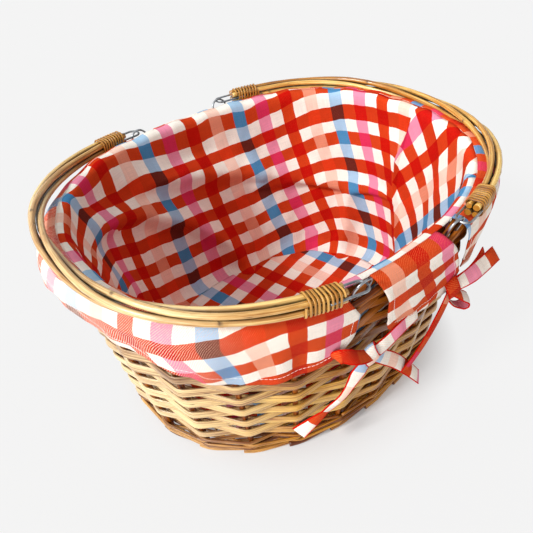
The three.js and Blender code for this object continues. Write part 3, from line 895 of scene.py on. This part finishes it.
# The bands of the weft don't follow the rim: how far down the cloth they start, as
# (share, mm at the lip, mm lower down).
BAND_SHIFT = [(0, 28, 42), (0.0785, 25, 38), (0.13, 12, 22), (0.189, 0, 9), (0.24, 0, 8), (0.296, 1, 11),
              (0.35, 0, 24), (0.398, -2, 46), (0.46, -4, 58), (0.53, 0, 62), (1, 0, 62)]


def puff(share):
    ripple = 1.2 * np.sin(share * 2 * math.pi * 23 + 1.0) * np.sin(share * 2 * math.pi * 9)
    height = np.interp(share % 1.0, *np.transpose(PUFF))
    return height + ripple * np.clip(height / 6, 0.2, 1)


def fold_height(share, z):
    """How far the folds stand in from the wall at places on it."""
    total = np.zeros(np.broadcast(share, z).shape)
    for line, height, half_width in FOLDS:
        line = np.asarray(line, float)[::-1]
        centre = np.interp(z, line[:, 1], line[:, 0])
        heights = np.linspace(0, 200, 41)
        slope = np.gradient(np.interp(heights, line[:, 1], line[:, 0]), 5.0) * WALL_ROUND
        lean = np.interp(z, heights, slope)
        away = ((share - centre + 0.5) % 1.0 - 0.5) * WALL_ROUND / np.sqrt(1 + lean**2)
        total += height * np.exp(-((away / half_width) ** 2))
    return total


def column_shift(share, depth):
    """The warp leans as it goes down, because the wall's foot is shorter than its rim."""
    at = [0.0, 0.08, 0.19, 0.29, 0.40, 0.5, 0.62, 0.75, 0.88, 1.0]
    lean = [0.070, 0.066, 0.034, 0.010, -0.022, -0.03, -0.01, 0.0, 0.03, 0.070]
    return np.interp(share % 1.0, at, lean) * np.clip(depth / 165, 0, 1) ** 1.25


def turned(x, y, angle):
    return x * math.cos(angle) - y * math.sin(angle), x * math.sin(angle) + y * math.cos(angle)


CORNER = 12.0  # how round the bag is where its wall meets its floor
JOIN_AT = 0.99  # the crease's share of the way round, on the whole


def bag_wall():
    across, down = 640, 96
    # Down the profile: over the rim from the lip, round its inner edge, and down to the floor.
    top, floor_z, inside = BAG["over_z"], BAG["floor_z"], BAG["outward"]
    lip = [(BAG["lip_out"], top), (-4.5, top - 0.2), (-7.6, top - 1.2), (-9.4, top - 3.6), (inside, top - 8)]
    wall_z = np.linspace(top - 12, floor_z + CORNER, down - 12)
    body = np.stack([np.full(len(wall_z), inside), wall_z], -1)
    turn = np.linspace(0, math.pi / 2, 8)[1:]
    corner = [inside - CORNER * (1 - np.cos(turn)), floor_z + CORNER * (1 - np.sin(turn))]
    profile = np.vstack([lip, body, np.stack(corner, -1)])
    out, z, d = profile[:, 0], profile[:, 1], run_lengths(profile)
    # Columns run from the crease once round to the crease, and lean as it does near it.
    start = JOIN_AT - 1
    share = start + np.linspace(0, 1, across + 1)[:, None]
    crease = along_line(CREASE, z) - 1
    near = sum(np.clip(1 - np.abs(share - start - lap) / 0.07, 0, 1) for lap in (0, 1))
    s = share + (crease - start) * near
    height = fold_height(s, z)
    pleat = 7.5 * np.exp(-np.clip(s - crease, 0, None) * WALL_ROUND / 12)
    pleat = pleat * np.clip((176 - z) / 30, 0, 1) * np.clip((z - 20) / 40, 0, 1)
    wrinkle = 0.5 * np.sin(s * 2 * math.pi * 37 + z * 0.06) * np.sin(z * 0.09 + s * 40)
    let_go = np.clip((top - 6 - z) / 26, 0, 1)
    points, _ = wall(s, out - let_go * (height + pleat + wrinkle), z)
    points[..., 2] += puff(s) * np.clip(1 - (d - 9) / 22, 0, 1)
    lip_shift, low_shift = (np.interp(s, *np.transpose(BAND_SHIFT)[[0, k]]) for k in (1, 2))
    shift = lerp(lip_shift, low_shift, np.clip(d / 42, 0, 1))
    u = (s + column_shift(s, d)) * RIM_ROUND * GATHER
    uv = np.stack([u * MM + 0.031, (d + height * 0.8 + shift) * MM], -1)
    # The end panel is cut on the bias, and joins the rest under the pleat.
    join = int(0.87 * across)
    bias = math.radians(42)
    along = (s[join:] - 1) * RIM_ROUND * 1.05
    along = np.vstack([along, along[-1:] + pleat[0]])
    end_u, end_v = turned(along, d, bias)
    end_panel = (np.concatenate([points[join:], points[:1]]), np.stack([end_u * MM, end_v * MM], -1))
    patches = [(points[: join + 1], uv[: join + 1]), end_panel]
    piece = cloth("liner_wall_cloth", patches, COTTON_IN, ["liner_wall_front", "liner_wall_back"])


def bag_floor():
    rings, across = 44, 240
    inset = np.linspace(0, 1, rings)
    edge, _ = wall(np.linspace(0, 1, across, endpoint=False), BAG["outward"] - 12.3, BAG["floor_z"])
    points = edge[:, None, :] * np.array([1, 1, 0]) * (1 - inset)[None, :, None]
    x, y = points[..., 0], points[..., 1]
    rise = 2.2 * np.exp(-(((x * 0.5 + y - 20) / 14) ** 2)) + 1.6 * np.exp(-(((x - y * 0.3 - 60) / 12) ** 2))
    rise += 1.4 * np.exp(-(((x + y * 0.8 + 70) / 13) ** 2)) + 0.3 * np.sin(x * 0.11) * np.sin(y * 0.13)
    points[..., 2] = BAG["floor_z"] + rise * np.clip(inset * 6, 0, 1)
    u, v = turned(x, y, math.radians(-14))
    uv = np.stack([-u * MM, v * MM], -1)
    uv = np.concatenate([uv, uv[:1]])
    piece = cloth("liner_floor_cloth", [(points, uv)], COTTON_IN, ["liner_floor"], closed=True)


bag_wall()
bag_floor()


# ---------------------------------------------------------------- liner flaps

# A flap lies on the rim and hangs outside the wall. Its two sides are (z, share) from the rim down.
# Other lines are (how far across, value): the hem's height, how far it stands away from the wall
# (flare), how far its stripes are drawn along the rim as they go down (pull) and from the top
# (slide), and how many millimetres of the weft's bands lie before the rim (rows).
PLAIN_FLAP = {"slide": [(0, 0)], "rows": [(0, 15.5)]}
FLAPS = {
    "left": {
        "sides": ([(187, 0.305), (172, 0.298), (135, 0.30)],
                  [(187, 0.695), (170, 0.704), (150, 0.703), (130, 0.693)]),
        "hem": [(0, 136), (0.15, 138), (0.24, 152), (0.346, 170), (0.405, 176), (0.48, 176), (0.53, 171),
                (0.57, 165), (0.6, 160.5), (0.64, 160), (0.66, 157), (0.68, 153), (0.7, 149), (0.735, 147),
                (0.76, 139), (0.8, 134), (0.83, 129), (0.87, 124.5), (0.94, 126), (1, 131)],
        "flare": [(0, 0), (0.2, 5), (0.35, 9), (0.41, 9.5), (0.48, 8.5), (0.52, 5.5), (0.56, 1.5), (0.6, 0.5),
                  (0.66, 0.5), (0.68, 3), (0.73, 4), (0.77, 3.5), (0.83, 1.5), (1, 0.5)],
        "pull": [(0, 0), (0.35, 0.01), (0.6, 0.021), (0.75, 0.016), (0.84, 0.008), (0.92, 0), (1, 0)],
        "slide": [(0, 0.004), (0.7, 0.004), (0.88, 0), (1, 0)],
        "rows": [(0, 15), (0.49, 15), (0.6, 25), (0.72, 25), (0.8, 31), (0.88, 43), (1, 43)],
    },
    "right": {
        "sides": ([(187, 0.806), (170, 0.812), (145, 0.822), (126, 0.826)],
                  [(187, 1.194), (172, 1.20), (126, 1.19)]),
        "hem": [(0, 124), (0.2, 122), (0.5, 128), (0.8, 134), (1, 132)],
        "flare": [(0, 3), (0.12, 7), (0.3, 13), (0.5, 14), (0.8, 4), (1, 0)],
        "pull": [(0, 0.012), (0.3, 0), (1, 0)],
    },
    "front": {
        "sides": ([(187, 0.7185), (169, 0.7255), (146, 0.7295), (130, 0.7285)],
                  [(187, 0.7845), (172, 0.794), (135, 0.816), (122, 0.812)]),
        "hem": [(0, 130), (0.25, 125), (0.6, 122), (1, 118)],
        "flare": [(0, 3), (0.5, 1), (1, 4)],
        "pull": [(0, 0.012), (0.5, 0.028), (1, 0.03)],
    },
    "back": {
        "sides": ([(187, 0.2155), (172, 0.207), (135, 0.196), (122, 0.198)],
                  [(187, 0.2815), (169, 0.2745), (146, 0.2705), (130, 0.2715)]),
        "hem": [(0, 120), (0.4, 124), (1, 129)],
        "flare": [(0, 4), (0.5, 1), (1, 3)],
        "pull": [(0, -0.03), (0.5, -0.02), (1, -0.012)],
        "rows": [(0, 0)],
    },
}
FLAP = {"out": 9.4, "hem_out": 8.4, "corner": 12.0, "hem": 9.0, "period": 0.0962, "red_at": 0.5646}
OUTER_ROUND = 1120.0  # the rim's length round the outside of the flaps
OVER_RIM = [(-1.4, 188.5), (1.2, 188.8), (3.8, 188.5), (6.4, 187.2), (8.4, 184.6), (9.3, 181.0), (9.5, 177.0)]


def flap(name, threads):
    shape = PLAIN_FLAP | FLAPS[name]
    first, last = (along_line(side, 187) for side in shape["sides"])
    a = np.linspace(0, 1, max(30, int((last - first) * 420)))
    flare, pull, slide, rows = (along_line(shape[k], a)[:, None] for k in ("flare", "pull", "slide", "rows"))
    edge = np.minimum(a, 1 - a) * (last - first) * OUTER_ROUND
    corner = np.clip(1 - edge / FLAP["corner"], 0, 1)
    hem = along_line(shape["hem"], a) + FLAP["corner"] * (1 - np.sqrt(1 - corner**2))
    rim = np.array(OVER_RIM)
    rim_z = rim[-1, 1]
    down = np.linspace(0, 1, 44)[1:]
    z = np.hstack([np.tile(rim[:, 1], (len(a), 1)), rim_z + (hem - rim_z)[:, None] * down])
    share = lerp(*(along_line(side, z) for side in shape["sides"]), a[:, None])
    drop = np.clip((rim_z - z) / 50, 0, 1)
    out = lerp(FLAP["out"], FLAP["hem_out"], drop)
    out[:, : len(rim)] = rim[:, 0]
    out += flare * np.r_[0, 0.1, 0.3, 0.55, 0.75, 0.9, 1, np.ones(len(down))]
    ripple = np.sin(share * 150 + 1.3 * np.sin(share * 37)) + 0.6 * np.sin(share * 290 + drop * 2)
    out += 0.75 * ripple * np.r_[np.zeros(len(rim)), np.clip(down * 2, 0, 1)]
    # The cloth is puffed over the rim, and higher where it is pushed outwards.
    z += puff(lerp(first, last, a))[:, None] * np.r_[1, 0.92, 0.7, 0.42, 0.2, 0.07, np.zeros(len(down) + 1)]
    z += 0.2 * flare * np.r_[0, 0.2, 0.5, 0.8, 1, 1, 1, 1 - down]
    points, normal = wall(share, out, z)
    v = np.array([run_lengths(column) for column in points])
    # The hem is folded double up to its stitches, which pinch it.
    to_hem = v[:, -1:] - v - FLAP["hem"]
    thicker = 0.45 * (1 - np.clip(to_hem / 1.5, 0, 1)) - 0.45 * np.exp(-((to_hem / 1.6) ** 2))
    points += normal * thicker[..., None]
    drawn = share - pull * drop + slide
    u = ((drawn - FLAP["red_at"]) / FLAP["period"] + 4.5 / len(WARP)) * STRIPE * len(WARP)
    uv = np.stack([u, (v + rows) * MM], -1)
    node = f"liner_flap_{name}"
    piece = cloth(f"{node}_cloth", [(points, uv)], COTTON_OUT, [node])
    width = run_lengths(points[:, 20])[-1]
    face = points + normal * 0.5
    row = np.argmin(np.abs(to_hem + 1.2), axis=1)
    inside = np.arange(3, len(a) - 3)
    stitches(threads, face[inside, row[inside]])
    for column in (2, len(a) - 3):
        stitches(threads, face[column, 6 : row[column]])


STITCH = {"length": 2.4, "gap": 0.8, "radius": 0.19}


def stitches(threads, line):
    length = STITCH["length"]
    steps = run_lengths(line)
    for start in np.arange(0, steps[-1] - length, length + STITCH["gap"]):
        path = at_places(start + np.linspace(0, length, 3), steps, line)
        threads.add(rings_along(path, [0, 0, 1.0], round_section(STITCH["radius"], 5)))


flap_threads = Strands()
for flap_name in FLAPS:
    flap(flap_name, flap_threads)
flap_threads.build("flap_stitching", THREAD, "basket", "checked_cotton")


# ---------------------------------------------------------------- tied straps

# Straps are in the front's places; the back's are the same with y turned round. Each has points along
# it, the ways it faces and its widths at even steps, and where on the stripes its cloth was cut.
FACE_OUT = (0, -1, 0.25)
BOWS = {
    "left": [
        {"route": [(14, -151.5, 127), (-6, -153.5, 126.5), (-22, -154, 123), (-34, -153, 120)],
         "faces": [FACE_OUT], "width": [10, 11, 12], "cut": (0.078, 0.0072)},
        {"route": [(-38, -153, 121), (-47, -155, 127), (-57, -155, 134), (-65, -152, 139), (-69, -149, 138),
                   (-67, -147, 134), (-60, -148, 129), (-50, -150, 123), (-40, -151, 118)],
         "faces": [(0.5, -0.6, 0.8), (0.2, -0.6, 0.9), (-1, -0.4, 0.3), (-0.5, -0.1, -0.9),
                   (-0.5, -0.1, -0.9)],
         "width": [8, 10, 9.5, 10, 9], "cut": (0.042, 0.023)},
        {"route": [(-40, -152, 118), (-49, -150, 103), (-60, -147, 84), (-74, -140, 68), (-93, -131, 49)],
         "faces": [FACE_OUT, (-0.4, -0.9, 0.3), (0.5, -0.8, 0.5), (-0.3, -0.8, 0.5)],
         "width": [11, 12.5, 6.5, 6, 9, 10.5, 13], "cut": (0.002, 0.0052)},
        {"route": [(-33, -152.5, 117), (-20, -151, 102), (-4, -150, 84), (12, -151.5, 63), (27, -154, 41)],
         "faces": [FACE_OUT, (0.2, -1, 0.3), (0.4, -0.8, 0.5)],
         "width": [11, 12, 12, 12], "cut": (0.0, 0.0075)},
        {"knot": (-37, -152.5, 120), "axis": (0.89, -0.1, 0.45), "tall": 9.5, "deep": 4.6, "width": 12,
         "cut": (0.0115, 0.0078)},
    ],
    "right": [
        {"route": [(112, -143, 128), (96, -148, 128), (80, -151, 128), (64, -151, 127)],
         "faces": [FACE_OUT], "width": [11, 11, 10], "cut": (0.047, 0.054)},
        {"route": [(62, -152, 128), (78, -154, 129), (98, -153, 129), (120, -150, 127)],
         "faces": [(0, -0.75, 0.7)], "width": [10, 12.5, 12.5, 12.5], "cut": (0.120, 0.0078), "runs": -1},
        {"route": [(60, -151, 121), (67, -155, 115), (75, -157, 108), (78, -156, 101), (73, -153, 98),
                   (65, -150, 104), (58, -149, 115)],
         "faces": [(0.6, -0.7, 0.5), (0.9, -0.5, 0), (0.2, -0.2, -1), (-0.6, 0.6, -0.5)],
         "width": [9, 12, 12, 9], "cut": (0.066, 0.0078)},
        {"route": [(57, -151, 121), (47, -152, 106), (33, -153, 89), (19, -153, 75), (5, -152, 63)],
         "faces": [(0.2, -1, 0.2), (0.5, -0.9, 0.2)], "width": [10, 12.5, 12.5, 13], "cut": (0.037, 0.0233)},
        {"knot": (60, -151, 125), "axis": (0.9, -0.1, 0.42), "tall": 9, "deep": 5, "width": 12,
         "cut": (0.040, 0.054)},
    ],
}
ACROSS_STRAP = np.linspace(-1, 1, 9)


def ribbon(shape):
    """A strap's grid of points, how far along each row is, and the way it faces there."""
    count = 60
    path = smooth_path(shape["route"], count)
    even = np.linspace(0, 1, count)
    faces = np.array(shape["faces"], float)
    out = at_places(even, np.linspace(0, 1, len(faces)), faces)
    along = unit(np.gradient(path, axis=0))
    across = unit(np.cross(out, along))
    out = np.cross(along, across)
    widths = np.interp(even, np.linspace(0, 1, len(shape["width"])), shape["width"])
    points = path[:, None] + across[:, None] * (ACROSS_STRAP * widths[:, None] / 2)[..., None]
    round_face = 1 - ACROSS_STRAP**2
    bulge = 0.5 * np.sin(even * 17)[:, None] * round_face + 0.7 * round_face
    return points + out[:, None] * bulge[..., None], run_lengths(path), out


def knot_band(shape):
    """The strap's turn round the others, pulled tight: a short puffed sleeve."""
    axis = unit(np.array(shape["axis"], float))
    tall = unit(np.cross(axis, [0, 1.0, 0]))
    deep = np.cross(tall, axis)
    turn = np.linspace(0, 2 * math.pi, 49)
    swell = 1 - 0.16 * ACROSS_STRAP**2
    ring = tall * (shape["tall"] * np.cos(turn))[:, None] + deep * (shape["deep"] * np.sin(turn))[:, None]
    skew = axis * (2.2 * np.sin(turn))[:, None]
    points = np.array(shape["knot"]) + ring[:, None] * swell[None, :, None] + skew[:, None]
    points = points + axis * (ACROSS_STRAP * shape["width"] / 2)[None, :, None]
    return points, run_lengths(ring), unit(ring)


def tie(name, side):
    patches, total = [], 0.0
    piping = Strands()
    mirror = np.array([1, -SIDES[side], 1])
    for shape in BOWS[name]:
        points, lengths, out = (ribbon if "route" in shape else knot_band)(shape)
        points = points * mirror
        cut_u, cut_v = shape["cut"]
        along = lengths * MM * shape.get("runs", 1)
        u, v = np.meshgrid(along + cut_u, ACROSS_STRAP * 6 * MM + cut_v, indexing="ij")
        patches.append((points, np.stack([u, v], -1)))
        total += lengths[-1]
        for edge in (0, -1):
            piping.add(rings_along(points[:, edge], out * mirror, round_section(0.62, 6)))
    node = f"tie_{side}_{name}"
    strap = cloth(f"{node}_strap", patches, COTTON_OUT, [node], thickness=0.8)
    edging = piping.build(f"{node}_piping", PIPING, "basket", "checked_cotton")


for side_name in SIDES:
    for bow_name in BOWS:
        tie(bow_name, side_name)


# ---------------------------------------------------------------- stage, light and camera


FLOOR = {"size": 30.0, "near": 0.125, "far": 0.18, "near_grey": 0.8, "far_grey": 0.06, "glow": 0.83}


def stage_floor():
    """A pale floor: plain near the basket, and further out it glows a little, so shadows fade."""
    mesh = bpy.data.meshes.new("floor")
    corners = [(x * FLOOR["size"], y * FLOOR["size"], 0) for x, y in ((-1, -1), (1, -1), (1, 1), (-1, 1))]
    mesh.from_pydata(corners, [], [(0, 1, 2, 3)])
    look = Look("pale floor", roughness=1.0)
    place_at = look.node("TexCoord").outputs["Object"]
    away = look.node("VectorMath", {0: place_at}, operation="LENGTH").outputs["Value"]
    far = look.spread(away, FLOOR["near"], FLOOR["far"])
    greys = [(g, g, g, 1.0) for g in (FLOOR["near_grey"], FLOOR["far_grey"])]
    look.give("Base Color", look.mix(far, *greys))
    look.give("Specular IOR Level", 0.0)
    look.give("Emission Color", (1, 1, 1, 1))
    look.give("Emission Strength", look.times(far, FLOOR["glow"]))
    mesh.materials.append(look.material)
    floor = new_object("floor", mesh)


def sun(name, direction, strength, spread):
    """A distant light that shines from the given direction."""
    data = bpy.data.lights.new(name, "SUN")
    data.energy = strength
    data.angle = math.radians(spread)
    lamp = new_object(name, data)
    lamp.rotation_mode = "QUATERNION"
    lamp.rotation_quaternion = Vector(direction).to_track_quat("Z", "Y")


SOFTBOX = {"towards": (-0.6, 0.25, 0.76), "dim": 0.1, "bright": 0.94}


def studio():
    """White light from all round, brightest from the left above, and two suns for the shadows."""
    world = bpy.data.worlds.new("studio")
    bpy.context.scene.world = world
    world.use_nodes = True
    sky = Nodes(world.node_tree)
    direction = sky.node("TexCoord").outputs["Generated"]
    towards = sky.node("VectorMath", {0: direction, 1: SOFTBOX["towards"]}, operation="DOT_PRODUCT")
    strength = sky.spread(towards.outputs["Value"], -0.8, 1.0, SOFTBOX["dim"], SOFTBOX["bright"])
    background = sky.tree.nodes["Background"]
    sky.put(background.inputs["Strength"], strength)
    sky.put(background.inputs["Color"], (1, 1, 1, 1))
    sun("key", (-0.76, 0.02, 0.65), 2.2, 10)
    sun("front fill", (-0.9, -0.36, 0.25), 1.15, 40)
    bpy.context.scene.view_settings.view_transform = "Standard"


CAMERA = {
    "place": (-0.24902, -0.32950, 0.43798),
    "azimuth": math.radians(-35.21),
    "elevation": math.radians(40),
    "roll": math.radians(-5.44),
    "lens": 37.207,
    "sensor": 36.0,
}


def camera():
    azimuth, elevation, roll = (CAMERA[k] for k in ("azimuth", "elevation", "roll"))
    back = Vector((math.sin(azimuth) * math.cos(elevation), -math.cos(azimuth) * math.cos(elevation),
                   math.sin(elevation)))
    level = Vector((math.cos(azimuth), math.sin(azimuth), 0))
    upright = back.cross(level)
    right = math.cos(roll) * level + math.sin(roll) * upright
    up = -math.sin(roll) * level + math.cos(roll) * upright
    data = bpy.data.cameras.new("camera")
    data.lens, data.sensor_width = CAMERA["lens"], CAMERA["sensor"]
    data.clip_start, data.clip_end = 0.01, 50
    eye = new_object("camera", data)
    turn = Matrix((right, up, back)).transposed().to_4x4()
    eye.matrix_world = Matrix.Translation(CAMERA["place"]) @ turn
    bpy.context.scene.camera = eye


stage_floor()
studio()
camera()
